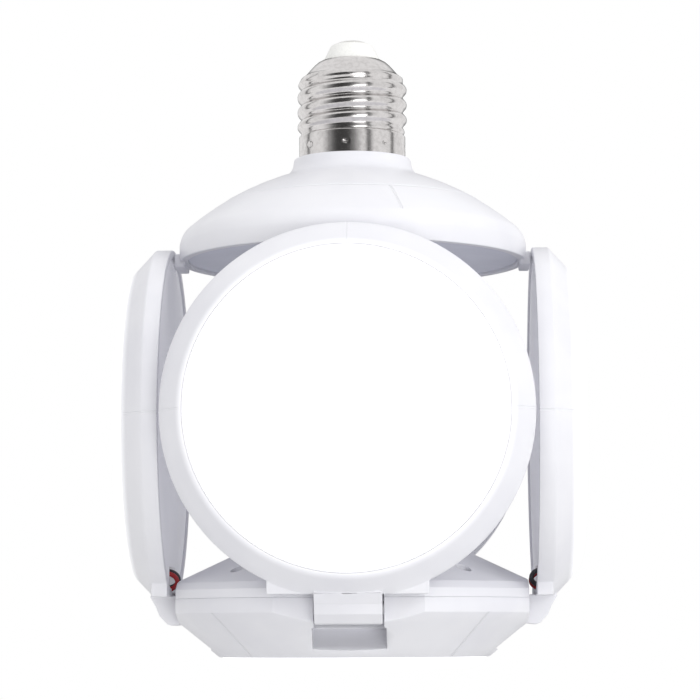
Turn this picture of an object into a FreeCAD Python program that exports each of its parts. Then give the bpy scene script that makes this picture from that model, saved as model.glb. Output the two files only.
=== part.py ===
import FreeCAD, Part
import math
import os
import Sketcher

# Folding lamp with a screw cap: a domed housing over four round lamp discs
# that stand like the sides of a cube and hinge outwards on a fifth disc below.
# Frame: +Z up, origin on the lamp's axis where the metal cap seats on the
# plastic collar. The lamp hangs below the origin. Millimetres.

SIZES = {
    # Screw cap, E27: plain skirt, rolled thread, shoulder, insulator, contact.
    "cap_root_radius": 12.15,
    "cap_thread_height": 0.95,
    "cap_pitch": 3.63,
    "cap_ridge_width": 3.0,
    "cap_skirt_step": 0.6,
    "cap_skirt_height": 5.9,
    "cap_wall": 0.5,
    "cap_thread_end": 0.48,
    "cap_shoulder_height": 3.1,
    "cap_mouth_radius": 8.0,
    "insulator_height": 3.9,
    "insulator_tip_radius": 5.0,
    "insulator_depth": 2.0,
    "contact_inset": 0.5,
    "contact_height": 1.0,
    "contact_edge": 0.4,
    "contact_shank_radius": 1.5,
    # Top housing: neck inside the cap, collar, dome and rim.
    "neck_height": 7.0,
    "neck_wall": 1.8,
    "collar_margin": 1.15,
    "collar_flare": 0.9,
    "collar_height": 3.9,
    "collar_hollow_radius": 9.0,
    "dome_radius": 65.5,
    "shoulder_depth": 17.4,
    "shoulder_inset": 1.4,
    "shoulder_height": 3.2,
    "shoulder_bend_radius": 4.4,
    "rim_gap": 1.2,
    "rim_height": 4.25,
    "housing_wall": 2.0,
    "seat_width": 1.4,
    # Underside plate and the ledge it lies against.
    "plate_recess": 0.65,
    "plate_thickness": 1.6,
    "plate_bore_inset": 1.5,
    "fit_gap": 0.2,
    # Catch bosses on the rim, one over each side disc.
    "catch_width": 12.0,
    "catch_above_rim": 1.85,
    "catch_below_rim": 1.45,
    "catch_depth": 2.5,
    "catch_gap": 0.35,
    "bead_radius": 0.6,
    "bead_below_rim": 0.75,
    "bead_length": 10.0,
    # Driver in the housing.
    "driver_inset": 8.3,
    "board_thickness": 1.6,
    "standoff_height": 2.0,
    "standoff_radius": 2.0,
    "standoff_inset": 5.0,
    "capacitor_gap": 2.8,
    "capacitor_height": 16.0,
    "driver_part_gap": 2.4,
    "transformer_width": 13.0,
    "transformer_height": 8.5,
    "rectifier_width": 6.5,
    "rectifier_height": 2.8,
    "choke_radius": 3.0,
    "choke_height": 6.8,
    "lead_radius": 0.6,
    # Centre post from the plate down to the bottom disc.
    "post_radius": 13.0,
    "post_wall": 2.5,
    "post_flange_width": 7.5,
    "post_flange_thickness": 2.5,
    "post_socket_depth": 5.0,
    "post_screw_inset": 3.0,
    "pillar_radius": 3.0,
    "post_screw_radius": 1.2,
    "post_screw_length": 12.0,
    "post_screw_head_radius": 2.2,
    "post_screw_head_height": 1.7,
    "screw_head_edge": 0.5,
    "screw_end_gap": 1.0,
    "screw_play": 0.05,
    # Side discs: place, bezel, cover, lens.
    "disc_radius": 41.7,
    "corner_gap": 0.8,
    "disc_step": 1.2,
    "disc_band": 3.7,
    "disc_depth": 8.7,
    "disc_mouth_inset": 5.3,
    "disc_lip_width": 2.0,
    "cover_recess": 0.5,
    "cover_thickness": 1.4,
    "cover_play": 0.15,
    "cavity_inset": 3.4,
    "disc_board_gap": 1.4,
    "disc_board_back": 3.8,
    "led_board_thickness": 1.2,
    "lens_gap": 0.4,
    "lens_play": 0.1,
    "lens_flange_thickness": 1.4,
    "lens_slope_width": 4.0,
    "lens_slope_height": 2.3,
    "lens_crown_height": 0.6,
    "lens_wall": 1.5,
    "rib_inset": 5.4,
    "rib_width": 1.5,
    # Hinge edge of a side disc: flat, tab, knuckle and pin.
    "flat_inset": 1.05,
    "hinge_pad_width": 35.8,
    "tab_width": 15.0,
    "tab_gap": 0.3,
    "pin_radius": 1.5,
    "knuckle_wall": 1.7,
    "knuckle_gap": 1.2,
    "knuckle_clearance": 0.5,
    "hinge_below_flat": 2.95,
    "pin_play": 0.05,
    "pin_seat_play": 0.01,
    "pin_length": 27.4,
    # Openings of a side disc's back cover, and its leads.
    "window_inset": 2.05,
    "window_height": 5.0,
    "catch_recess_height": 2.0,
    "catch_recess_margin": 0.5,
    "catch_recess_depth": 0.8,
    "side_lead_spacing": 3.2,
    "side_lead_length": 17.0,
    "side_lead_below_flat": 2.35,
    "side_lead_depth": 2.75,
    "lead_hole_play": 0.2,
    # Bottom disc: bezel, cover, lens.
    "base_gap": 0.55,
    "base_overhang": 1.5,
    "base_flat_inset": 1.85,
    "base_band": 3.4,
    "base_depth": 13.5,
    "base_mouth_inset": 12.2,
    "base_lens_gap": 0.6,
    "base_lens_rim": 2.2,
    "base_lens_wall": 1.4,
    "base_lens_slope_width": 3.6,
    "base_lens_slope_height": 2.4,
    "base_lens_crown_height": 0.5,
    "base_board_inset": 2.6,
    "base_board_gap": 2.8,
    "base_cavity_inset": 2.2,
    "base_floor": 1.5,
    "base_wire_bore": 8.0,
    "base_rim_height": 2.0,
    "base_shoulder_width": 1.4,
    "base_shoulder_height": 3.6,
    "base_cone_height": 12.0,
    "base_cone_wall": 2.2,
    "base_cover_inset": 12.5,
    "base_land_width": 1.45,
    "base_land_height": 1.0,
    "socket_wall": 2.5,
    "swing_radius": 8.6,
    "pocket_step": 1.8,
    "pocket_margin": 0.5,
    "pocket_below_pin": 4.5,
    # Screws that hold the bottom disc's cover.
    "cover_screw_inset": 8.0,
    "cover_screw_radius": 0.95,
    "cover_screw_head_radius": 1.7,
    "cover_screw_head_height": 1.5,
    "cover_screw_seat": 3.4,
    "cover_screw_length": 9.0,
    "counterbore_radius": 1.9,
    # LED chips and the leads down the post.
    "chip_length": 3.5,
    "chip_width": 2.8,
    "chip_height": 0.7,
    "chip_ring_inset": 5.6,
    "supply_lead_radius": 0.9,
}

CAP_RIDGES = 4
INNER_CHIPS = 8
OUTER_CHIPS = 16
SIDES = {"right": 0, "back": 90, "left": 180, "front": 270}
SKETCH_REACH = 10.0
LEAD_CORNER_SHARE = 0.45

doc = FreeCAD.newDocument("FoldingLamp")
sheet = doc.addObject("Spreadsheet::Sheet", "Sizes")
for row, (alias, value) in enumerate(SIZES.items(), start=1):
    sheet.set(f"A{row}", alias)
    sheet.set(f"B{row}", str(value))
    sheet.setAlias(f"B{row}", alias)
doc.recompute()


class Size:
    """A length worked out from the sheet: its value and its expression."""

    def __init__(self, value, text):
        self.value = value
        self.text = text

    def join(self, other, sign, value):
        return Size(value, f"({self.text} {sign} {other.text})")

    def __add__(self, other):
        other = size(other)
        return self.join(other, "+", self.value + other.value)

    def __radd__(self, other):
        return size(other) + self

    def __sub__(self, other):
        other = size(other)
        return self.join(other, "-", self.value - other.value)

    def __rsub__(self, other):
        return size(other) - self

    def __mul__(self, other):
        other = size(other)
        return self.join(other, "*", self.value * other.value)

    def __rmul__(self, other):
        return size(other) * self

    def __truediv__(self, other):
        other = size(other)
        return self.join(other, "/", self.value / other.value)

    def __neg__(self):
        return size(0) - self


def size(number):
    """A plain number as a Size; a Size stays as it is."""
    if isinstance(number, Size):
        return number
    return Size(float(number), str(number))


def root(square):
    """The square root of a Size."""
    return Size(math.sqrt(square.value), f"sqrt({square.text})")


class Dimensions:
    """Every alias of the sheet as a Size."""

    def __init__(self):
        for alias, value in SIZES.items():
            setattr(self, alias, Size(value, f"Sizes.{alias}"))


d = Dimensions()


def bind(target, name, value):
    """Ties a property to the sheet."""
    target.setExpression(name, size(value).text)


def fix_point(sketch, edge, end, across, up):
    """Puts one end of an edge at (across, up), each tied to the sheet."""
    for axis, on_axis, value in (("DistanceX", -2, across), ("DistanceY", -1, up)):
        value = size(value)
        if value.text in ("0", "0.0"):
            sketch.addConstraint(Sketcher.Constraint("PointOnObject", edge, end, on_axis))
            continue
        number = sketch.addConstraint(Sketcher.Constraint(axis, -1, 1, edge, end, value.value))
        bind(sketch, f"Constraints[{number}]", value)


def arc_between(start, finish, radius):
    """The short arc from start to finish: anticlockwise for a radius above 0."""
    chord = finish - start
    height = math.sqrt(radius * radius - chord.Length * chord.Length / 4)
    side = FreeCAD.Vector(-chord.y, chord.x, 0).normalize()
    centre = (start + finish) * 0.5 + side * math.copysign(height, radius)
    first, last = (start, finish) if radius > 0 else (finish, start)
    first_angle = math.atan2(first.y - centre.y, first.x - centre.x)
    last_angle = math.atan2(last.y - centre.y, last.x - centre.x)
    circle = Part.Circle(centre, FreeCAD.Vector(0, 0, 1), abs(radius))
    return Part.ArcOfCircle(circle, first_angle, last_angle)


def outline(sketch, points):
    """Draws a closed outline. A point is (across, up), or (across, up, radius)
    where an arc leaves it, anticlockwise for a radius above 0."""
    places = [FreeCAD.Vector(size(p[0]).value, size(p[1]).value, 0) for p in points]
    ends = []
    for index, point in enumerate(points):
        start = places[index]
        finish = places[(index + 1) % len(points)]
        if len(point) == 2:
            edge = sketch.addGeometry(Part.LineSegment(start, finish), False)
            ends.append((edge, 1, 2))
            continue
        bend = size(point[2])
        edge = sketch.addGeometry(arc_between(start, finish, bend.value), False)
        number = sketch.addConstraint(Sketcher.Constraint("Radius", edge, abs(bend.value)))
        bind(sketch, f"Constraints[{number}]", bend if bend.value > 0 else -bend)
        ends.append((edge, 1, 2) if bend.value > 0 else (edge, 2, 1))
    for index, (edge, start_end, finish_end) in enumerate(ends):
        following = ends[(index + 1) % len(ends)]
        sketch.addConstraint(
            Sketcher.Constraint("Coincident", edge, finish_end, following[0], following[1]))
        fix_point(sketch, edge, start_end, points[index][0], points[index][1])


def box_outline(sketch, left, low, right, high):
    """Draws a rectangle by its four sides."""
    outline(sketch, [(left, low), (right, low), (right, high), (left, high)])


def hole_outline(sketch, across, up, radius):
    """Draws a circle."""
    centre = FreeCAD.Vector(size(across).value, size(up).value, 0)
    circle = Part.Circle(centre, FreeCAD.Vector(0, 0, 1), size(radius).value)
    edge = sketch.addGeometry(circle, False)
    number = sketch.addConstraint(Sketcher.Constraint("Radius", edge, size(radius).value))
    bind(sketch, f"Constraints[{number}]", radius)
    fix_point(sketch, edge, 3, across, up)


class Piece:
    """One sub-part: a body, its sketches and the features made from them."""

    def __init__(self, label):
        self.body = doc.addObject("PartDesign::Body", label)
        self.body.Label = label

    def origin(self, role):
        for feature in self.body.Origin.OriginFeatures:
            if feature.Role == role:
                return feature
        raise ValueError(role)

    def sketch(self, name, role, lift=None):
        drawing = self.body.newObject("Sketcher::SketchObject", f"{self.body.Name}_{name}")
        drawing.AttachmentSupport = (self.origin(role), "")
        drawing.MapMode = "FlatFace"
        if lift is not None:
            bind(drawing, "AttachmentOffset.Base.z", lift)
        return drawing

    def turned(self, kind, name, points):
        drawing = self.sketch(f"{name}_profile", "XZ_Plane")
        outline(drawing, points)
        feature = self.body.newObject(kind, f"{self.body.Name}_{name}")
        feature.Profile = drawing
        feature.ReferenceAxis = (drawing, ["V_Axis"])
        feature.Angle = 360
        return feature

    def revolve(self, name, points):
        return self.turned("PartDesign::Revolution", name, points)

    def groove(self, name, points):
        return self.turned("PartDesign::Groove", name, points)

    def extrude(self, kind, name, drawing, length, side):
        feature = self.body.newObject(kind, f"{self.body.Name}_{name}")
        feature.Profile = drawing
        feature.SideType = "Symmetric" if side == "both" else "One side"
        feature.Reversed = side == "reversed"
        bind(feature, "Length", length)
        return feature

    def pad(self, name, drawing, length, side="one"):
        return self.extrude("PartDesign::Pad", name, drawing, length, side)

    def pocket(self, name, drawing, length, side="one"):
        return self.extrude("PartDesign::Pocket", name, drawing, length, side)

    def repeat(self, name, features, count):
        pattern = self.body.newObject("PartDesign::PolarPattern", f"{self.body.Name}_{name}")
        pattern.Originals = features
        pattern.Axis = (self.origin("Z_Axis"), [""])
        pattern.Angle = 360
        pattern.Occurrences = count
        self.body.Tip = pattern
        return pattern


def drop_to(thing, depth):
    """Hangs a body at a depth below the origin."""
    bind(thing, "Placement.Base.z", -depth)


def stand_on_side(thing, azimuth):
    """Turns a piece made flat (X across, Y up, Z out) to stand on one side of
    the lamp, its back plane at the side discs' distance from the axis."""
    turn = math.radians(azimuth)
    outward = FreeCAD.Vector(round(math.cos(turn)), round(math.sin(turn)), 0)
    across = FreeCAD.Vector(-outward.y, outward.x, 0)
    up = FreeCAD.Vector(0, 0, 1)
    facing = FreeCAD.Rotation(across, up, outward, "ZXY")
    thing.Placement = FreeCAD.Placement(FreeCAD.Vector(0, 0, 0), facing)
    bind(thing, "Placement.Base.x", d.disc_back * outward.x)
    bind(thing, "Placement.Base.y", d.disc_back * outward.y)
    bind(thing, "Placement.Base.z", -d.disc_drop)


def group(label, solids, azimuth=None, depth=None):
    """Several like solids that share one node."""
    feature = doc.addObject("Part::Feature", label)
    feature.Label = label
    feature.Shape = Part.makeCompound(solids)
    if azimuth is not None:
        stand_on_side(feature, azimuth)
    if depth is not None:
        drop_to(feature, depth)
    return feature


def crown_radius(reach, height):
    """The radius of a shallow crown of that reach and height."""
    return (reach * reach + height * height) / (2 * height)


def on_diagonals(radius):
    """The four points of a bolt circle, between the sides."""
    return [FreeCAD.Vector(radius * math.cos(a), radius * math.sin(a), 0)
            for a in (math.radians(azimuth + 45) for azimuth in SIDES.values())]


UP = FreeCAD.Vector(0, 0, 1)

# Sizes that several pieces share, each from the one it fits.
d.cap_crest_radius = d.cap_root_radius + d.cap_thread_height
d.cap_skirt_radius = d.cap_root_radius + d.cap_skirt_step
d.cap_wall_height = d.cap_skirt_height + CAP_RIDGES * d.cap_pitch + d.cap_thread_end
d.cap_mouth_height = d.cap_wall_height + d.cap_shoulder_height
d.insulator_tip_height = d.cap_mouth_height + d.insulator_height
d.neck_radius = d.cap_root_radius - d.cap_wall - d.pin_play
d.neck_bore = d.neck_radius - d.neck_wall
d.collar_radius = d.cap_skirt_radius + d.collar_margin
d.collar_foot_radius = d.collar_radius + d.collar_flare

d.disc_back = d.disc_radius + d.corner_gap
d.rim_radius = d.disc_back - d.rim_gap
d.shoulder_radius = d.rim_radius - d.shoulder_inset
d.rim_drop = d.shoulder_depth + d.shoulder_height
d.housing_drop = d.rim_drop + d.rim_height
d.bead_drop = d.housing_drop + d.bead_below_rim
d.disc_drop = d.rim_drop + d.disc_step + d.disc_radius
d.plate_under = d.housing_drop - d.plate_recess
d.plate_top = d.plate_under - d.plate_thickness
d.board_under = d.plate_top - d.standoff_height
d.board_top = d.board_under - d.board_thickness
d.driver_radius = d.rim_radius - d.driver_inset
d.capacitor_radius = d.neck_bore - d.capacitor_gap

d.flange_under = d.plate_under + d.post_flange_thickness
d.post_bore = d.post_radius - d.post_wall
d.post_screw_circle = d.post_radius + d.post_screw_inset
d.socket_bore = d.post_radius + d.screw_play
d.socket_outer = d.socket_bore + d.socket_wall

d.flat_distance = d.disc_radius - d.flat_inset
d.disc_mouth_radius = d.disc_radius - d.disc_mouth_inset
d.cavity_radius = d.disc_radius - d.cavity_inset
d.disc_board_radius = d.cavity_radius - d.disc_board_gap
d.disc_board_front = d.disc_board_back + d.led_board_thickness
d.lens_radius = d.disc_mouth_radius - d.lens_gap
d.cover_top = d.cover_recess + d.cover_thickness
d.side_lead_end = d.flat_distance + d.side_lead_below_flat

d.knuckle_radius = d.pin_radius + d.knuckle_wall
d.hinge_inset = d.knuckle_radius + d.knuckle_gap
d.hinge_up = -d.flat_distance - d.hinge_below_flat
d.hinge_reach = d.disc_back - d.hinge_inset
d.parting = d.disc_drop + d.flat_distance + d.base_gap
d.hinge_below_parting = d.hinge_below_flat - d.base_gap
d.slot_width = d.tab_width + 2 * d.tab_gap

d.base_radius = d.disc_back + d.base_overhang
d.base_flat = d.disc_back - d.base_flat_inset
d.base_lens_seat = d.base_depth - d.base_lens_rim
d.base_board_level = d.base_lens_seat - d.base_board_gap
d.base_mouth_radius = d.base_radius - d.base_mouth_inset
d.base_lens_radius = d.base_mouth_radius - d.base_lens_gap
d.base_board_bore = d.base_lens_radius - d.base_board_inset
d.base_shoulder_radius = d.base_radius - d.base_shoulder_width
d.base_cone_top = d.base_shoulder_height + d.base_cone_height
d.base_land_radius = d.socket_outer + d.base_land_width
d.base_top = d.base_cone_top + d.base_land_height
d.socket_floor = d.base_top - d.post_socket_depth
d.cover_screw_circle = d.base_radius - d.cover_screw_inset
diagonal = 1 / math.sqrt(2)


def cap_shell():
    """Thin metal shell: plain skirt, rolled ridges and a shoulder drawn in to
    the insulator."""
    piece = Piece("cap_shell")
    rise = d.cap_crest_radius - d.cap_root_radius
    half = d.cap_ridge_width / 2
    ridge = (half * half + rise * rise) / (2 * rise)
    inner = d.cap_root_radius - d.cap_wall
    wall_points = [(d.cap_skirt_radius, 0), (d.cap_skirt_radius, d.cap_skirt_height),
                   (d.cap_root_radius, d.cap_skirt_height + d.cap_wall / 2)]
    for turn in range(CAP_RIDGES):
        middle = d.cap_skirt_height + d.cap_pitch * (turn + 0.5)
        wall_points.append((d.cap_root_radius, middle - half, ridge))
        wall_points.append((d.cap_root_radius, middle + half))
    top = [(d.cap_root_radius, d.cap_wall_height),
           (d.cap_mouth_radius, d.cap_mouth_height),
           (d.cap_mouth_radius - d.cap_wall, d.cap_mouth_height),
           (d.cap_mouth_radius - d.cap_wall, d.cap_mouth_height - 2 * d.cap_wall),
           (inner, d.cap_wall_height - d.cap_wall),
           (inner, 0)]
    piece.revolve("shell", wall_points + top)


def cap_insulator():
    """Frustum between shell and contact, with a spigot inside the shell."""
    piece = Piece("cap_insulator")
    spigot = d.cap_mouth_radius - d.cap_wall - d.pin_play
    foot = d.cap_mouth_height - d.insulator_depth
    bore = d.contact_shank_radius + d.pin_play
    piece.revolve("plug", [
        (bore, foot), (spigot, foot), (spigot, d.cap_mouth_height),
        (d.cap_mouth_radius, d.cap_mouth_height),
        (d.insulator_tip_radius, d.insulator_tip_height), (bore, d.insulator_tip_height)])


def cap_contact():
    """Centre contact: a low button on a shank through the insulator."""
    piece = Piece("cap_contact")
    foot = d.cap_mouth_height - d.insulator_depth
    radius = d.insulator_tip_radius - d.contact_inset
    top = d.insulator_tip_height + d.contact_height
    piece.revolve("button", [
        (0, foot), (d.contact_shank_radius, foot),
        (d.contact_shank_radius, d.insulator_tip_height),
        (radius, d.insulator_tip_height), (radius, top - d.contact_edge),
        (radius - d.contact_edge, top), (0, top)])


def top_housing():
    """Moulded dome with its collar and the neck that goes up into the cap.
    Its rim carries four catch bosses, and four pillars take the post's screws."""
    piece = Piece("top_housing")
    inner_rim = d.rim_radius - d.housing_wall
    ledge = inner_rim - d.seat_width
    piece.revolve("shell", [
        (inner_rim, -d.housing_drop), (d.rim_radius, -d.housing_drop),
        (d.rim_radius, -d.rim_drop, d.shoulder_bend_radius),
        (d.shoulder_radius, -d.shoulder_depth, d.dome_radius),
        (d.collar_foot_radius, -d.collar_height, -d.collar_hollow_radius),
        (d.collar_radius, 0), (d.neck_radius, 0), (d.neck_radius, d.neck_height),
        (d.neck_bore, d.neck_height), (d.neck_bore, -d.collar_height - d.housing_wall / 2),
        (d.collar_foot_radius - d.housing_wall, -d.collar_height - d.housing_wall,
         -d.dome_radius),
        (ledge, -d.rim_drop), (ledge, -d.plate_top), (inner_rim, -d.plate_top)])

    boss = piece.sketch("catch_outline", "XY_Plane", -d.housing_drop - d.catch_below_rim)
    outer = d.disc_back - d.catch_gap
    box_outline(boss, outer - d.catch_depth, -d.catch_width / 2, outer, d.catch_width / 2)
    bosses = piece.pad("catch_boss", boss, d.catch_above_rim + d.catch_below_rim)
    bead = piece.sketch("bead_outline", "XZ_Plane")
    hole_outline(bead, outer, -d.bead_drop, d.bead_radius)
    beads = piece.pad("catch_bead", bead, d.bead_length, "both")
    piece.repeat("catches", [bosses, beads], 4)

    offset = d.post_screw_circle * diagonal
    pillar_top = d.collar_height + d.housing_wall
    pillar = piece.sketch("pillar_outline", "XY_Plane", -d.plate_top)
    hole_outline(pillar, offset, offset, d.pillar_radius)
    pillars = piece.pad("pillar", pillar, d.plate_top - pillar_top)
    piece.repeat("pillars", [pillars], 4)
    screw_end = d.post_screw_length - (d.flange_under - d.plate_top) + d.screw_end_gap
    bore = piece.sketch("pillar_bore_outline", "XY_Plane", -d.plate_top)
    hole_outline(bore, offset, offset, d.post_screw_radius + d.screw_play)
    bores = piece.pocket("pillar_bore", bore, screw_end, "reversed")
    piece.repeat("pillar_bores", [bores], 4)


def underside_plate():
    """Flat plate that closes the housing, with standoffs for the driver."""
    piece = Piece("underside_plate")
    bore = d.post_bore - d.plate_bore_inset
    edge = d.rim_radius - d.housing_wall - d.fit_gap
    piece.revolve("plate", [
        (bore, -d.plate_under), (edge, -d.plate_under), (edge, -d.plate_top),
        (bore, -d.plate_top)])
    standoff = piece.sketch("standoff_outline", "XY_Plane", -d.plate_top)
    hole_outline(standoff, d.driver_radius - d.standoff_inset, 0, d.standoff_radius)
    standoffs = piece.pad("standoff", standoff, d.standoff_height)
    piece.repeat("standoffs", [standoffs], 4)
    offset = d.post_screw_circle * diagonal
    hole = piece.sketch("screw_hole_outline", "XY_Plane", -d.plate_top)
    hole_outline(hole, offset, offset, d.post_screw_radius + d.fit_gap)
    holes = piece.pocket("screw_hole", hole, d.plate_thickness)
    piece.repeat("screw_holes", [holes], 4)


def driver():
    """Driver board on the plate's standoffs, and what stands on it: a tall
    capacitor up in the neck, a transformer, a rectifier and a choke."""
    piece = Piece("driver_board")
    outer = piece.sketch("board_outline", "XY_Plane", -d.board_under)
    hole_outline(outer, 0, 0, d.driver_radius)
    offset = d.post_screw_circle * diagonal
    for across, along in ((1, 1), (-1, 1), (-1, -1), (1, -1)):
        hole_outline(outer, offset * across, offset * along, d.pillar_radius + d.fit_gap)
    piece.pad("board", outer, d.board_thickness)

    capacitor = Piece("driver_capacitor")
    can = capacitor.sketch("can_outline", "XY_Plane", -d.board_top)
    hole_outline(can, 0, 0, d.capacitor_radius)
    capacitor.pad("can", can, d.capacitor_height)

    transformer = Piece("driver_transformer")
    core = transformer.sketch("core_outline", "XY_Plane", -d.board_top)
    near = d.post_screw_circle * diagonal - d.pillar_radius - 2 * d.fit_gap
    start = d.capacitor_radius + d.driver_part_gap
    box_outline(core, start, -near, start + d.transformer_width, near)
    transformer.pad("core", core, d.transformer_height)

    rectifier = Piece("driver_rectifier")
    block = rectifier.sketch("block_outline", "XY_Plane", -d.board_top)
    box_outline(block, -start - d.rectifier_width, -near / 2, -start, near / 2)
    rectifier.pad("block", block, d.rectifier_height)

    choke = Piece("driver_choke")
    drum = choke.sketch("drum_outline", "XY_Plane", -d.board_top)
    hole_outline(drum, 0, start + 2 * d.choke_radius, d.choke_radius)
    choke.pad("drum", drum, d.choke_height)


def lead(points, radius):
    """A wire along a chain of points: straight runs joined by tangent arcs."""
    edges = []
    start = points[0]
    for before, corner, after in zip(points, points[1:], points[2:]):
        back = before - corner
        ahead = after - corner
        turn = math.pi - back.getAngle(ahead)
        reach = LEAD_CORNER_SHARE * min(back.Length, ahead.Length)
        entry = corner + back.normalize() * reach
        leave = corner + ahead.normalize() * reach
        bend = reach / math.tan(turn / 2)
        inward = (back + ahead).normalize()
        middle = corner + inward * (math.hypot(reach, bend) - bend)
        edges.append(Part.LineSegment(start, entry).toShape())
        edges.append(Part.Arc(entry, middle, leave).toShape())
        start = leave
    edges.append(Part.LineSegment(start, points[-1]).toShape())
    section = Part.Circle(points[0], points[1] - points[0], radius).toShape()
    return Part.Wire(edges).makePipeShell([Part.Wire([section])], True, False)


def cap_leads():
    """Two leads from the driver board up the neck: one to the contact's shank,
    one to the inside of the shell."""
    radius = d.lead_radius.value
    low = -d.board_top.value
    neck_top = d.neck_height.value
    beside = (d.capacitor_radius.value + d.neck_bore.value) / 2
    contact_end = d.cap_mouth_height.value - d.insulator_depth.value
    shell_wall = d.cap_root_radius.value - d.cap_wall.value - radius - d.pin_play.value
    rise = (contact_end - neck_top) / 4
    contact_route = [(beside, low), (beside, neck_top), (0, contact_end - rise), (0, contact_end)]
    shell_route = [(-beside, low), (-beside, neck_top), (-shell_wall, neck_top + rise),
                   (-shell_wall, neck_top + 2 * rise)]
    solids = []
    for route in (contact_route, shell_route):
        solids.append(lead([FreeCAD.Vector(across, 0, up) for across, up in route], radius))
    return group("cap_leads", solids)


def centre_post():
    """Tube that carries the bottom disc: a flange screwed up through the plate
    into the housing, and a foot seated in the bottom cover's socket."""
    piece = Piece("centre_post")
    foot = d.parting - d.socket_floor
    flange = d.post_radius + d.post_flange_width
    piece.revolve("tube", [
        (d.post_bore, -foot), (d.post_radius, -foot), (d.post_radius, -d.flange_under),
        (flange, -d.flange_under), (flange, -d.plate_under), (d.post_bore, -d.plate_under)])
    offset = d.post_screw_circle * diagonal
    hole = piece.sketch("screw_hole_outline", "XY_Plane", -d.plate_under)
    hole_outline(hole, offset, offset, d.post_screw_radius + d.fit_gap)
    holes = piece.pocket("screw_hole", hole, d.post_flange_thickness)
    piece.repeat("screw_holes", [holes], 4)


def screw(head_radius, head_height, shank_radius, length, seat, down):
    """A pan-head screw at a seat: its shank runs down, or up, from there."""
    way = UP * (-1 if down else 1)
    edge = d.screw_head_edge.value
    shank = Part.makeCylinder(shank_radius, length, seat, way)
    head = Part.makeCylinder(head_radius, head_height - edge, seat, way * -1)
    crown = Part.makeCone(head_radius, head_radius - edge, edge,
                          seat - way * (head_height - edge), way * -1)
    return shank.fuse([head, crown])


def post_screws():
    """Four screws up through the flange and the plate into the pillars."""
    places = on_diagonals(d.post_screw_circle.value)
    level = FreeCAD.Vector(0, 0, -d.flange_under.value)
    return group("post_screws", [
        screw(d.post_screw_head_radius.value, d.post_screw_head_height.value,
              d.post_screw_radius.value, d.post_screw_length.value, place + level, False)
        for place in places])


def base_bezel():
    """Bottom disc's front moulding: band, cone, mouth, floor for the board,
    four flats with hinge ears, and a pocket under each tab."""
    piece = Piece("base_bezel")
    drop_to(piece.body, d.parting)
    mouth_bore = d.base_lens_radius + d.cover_play
    cavity = d.base_board_bore - d.base_cavity_inset
    floor_top = d.base_floor - d.base_board_level
    piece.revolve("ring", [
        (cavity, 0), (cavity, floor_top),
        (d.base_wire_bore, floor_top), (d.base_wire_bore, -d.base_board_level),
        (d.base_board_bore, -d.base_board_level), (d.base_board_bore, -d.base_lens_seat),
        (mouth_bore, -d.base_lens_seat), (mouth_bore, -d.base_depth),
        (d.base_mouth_radius, -d.base_depth), (d.base_radius, -d.base_band),
        (d.base_radius, 0)])
    flat = piece.sketch("flat_outline", "XY_Plane")
    box_outline(flat, d.base_flat, -d.base_radius, d.base_radius + SKETCH_REACH, d.base_radius)
    flats = piece.pocket("flat", flat, d.base_depth)
    slot = piece.sketch("slot_outline", "XZ_Plane")
    hole_outline(slot, d.hinge_reach, -d.hinge_below_parting, d.swing_radius)
    slots = piece.pocket("tab_slot", slot, d.slot_width, "both")
    pocket = piece.sketch("pocket_outline", "XZ_Plane")
    reach = d.swing_radius + d.pocket_step
    chord = root(reach * reach - d.pocket_below_pin * d.pocket_below_pin)
    level = -d.hinge_below_parting - d.pocket_below_pin
    outline(pocket, [(d.hinge_reach + chord, level), (d.hinge_reach - chord, level, reach)])
    pockets = piece.pocket("tab_pocket", pocket, d.slot_width + 2 * d.pocket_margin, "both")
    bore = piece.sketch("pin_bore_outline", "XZ_Plane")
    hole_outline(bore, d.hinge_reach, -d.hinge_below_parting, d.pin_radius + d.pin_seat_play)
    bores = piece.pocket("pin_bore", bore, d.pin_length + d.fit_gap, "both")
    piece.repeat("hinge_sides", [flats, slots, pockets, bores], 4)
    hole = piece.sketch("screw_bore_outline", "XY_Plane")
    offset = d.cover_screw_circle * diagonal
    hole_outline(hole, offset, offset, d.cover_screw_radius + d.screw_play)
    below = d.cover_screw_length - d.cover_screw_seat
    holes = piece.pocket("screw_bore", hole, below + d.screw_end_gap)
    piece.repeat("screw_bores", [holes], 4)


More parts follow.
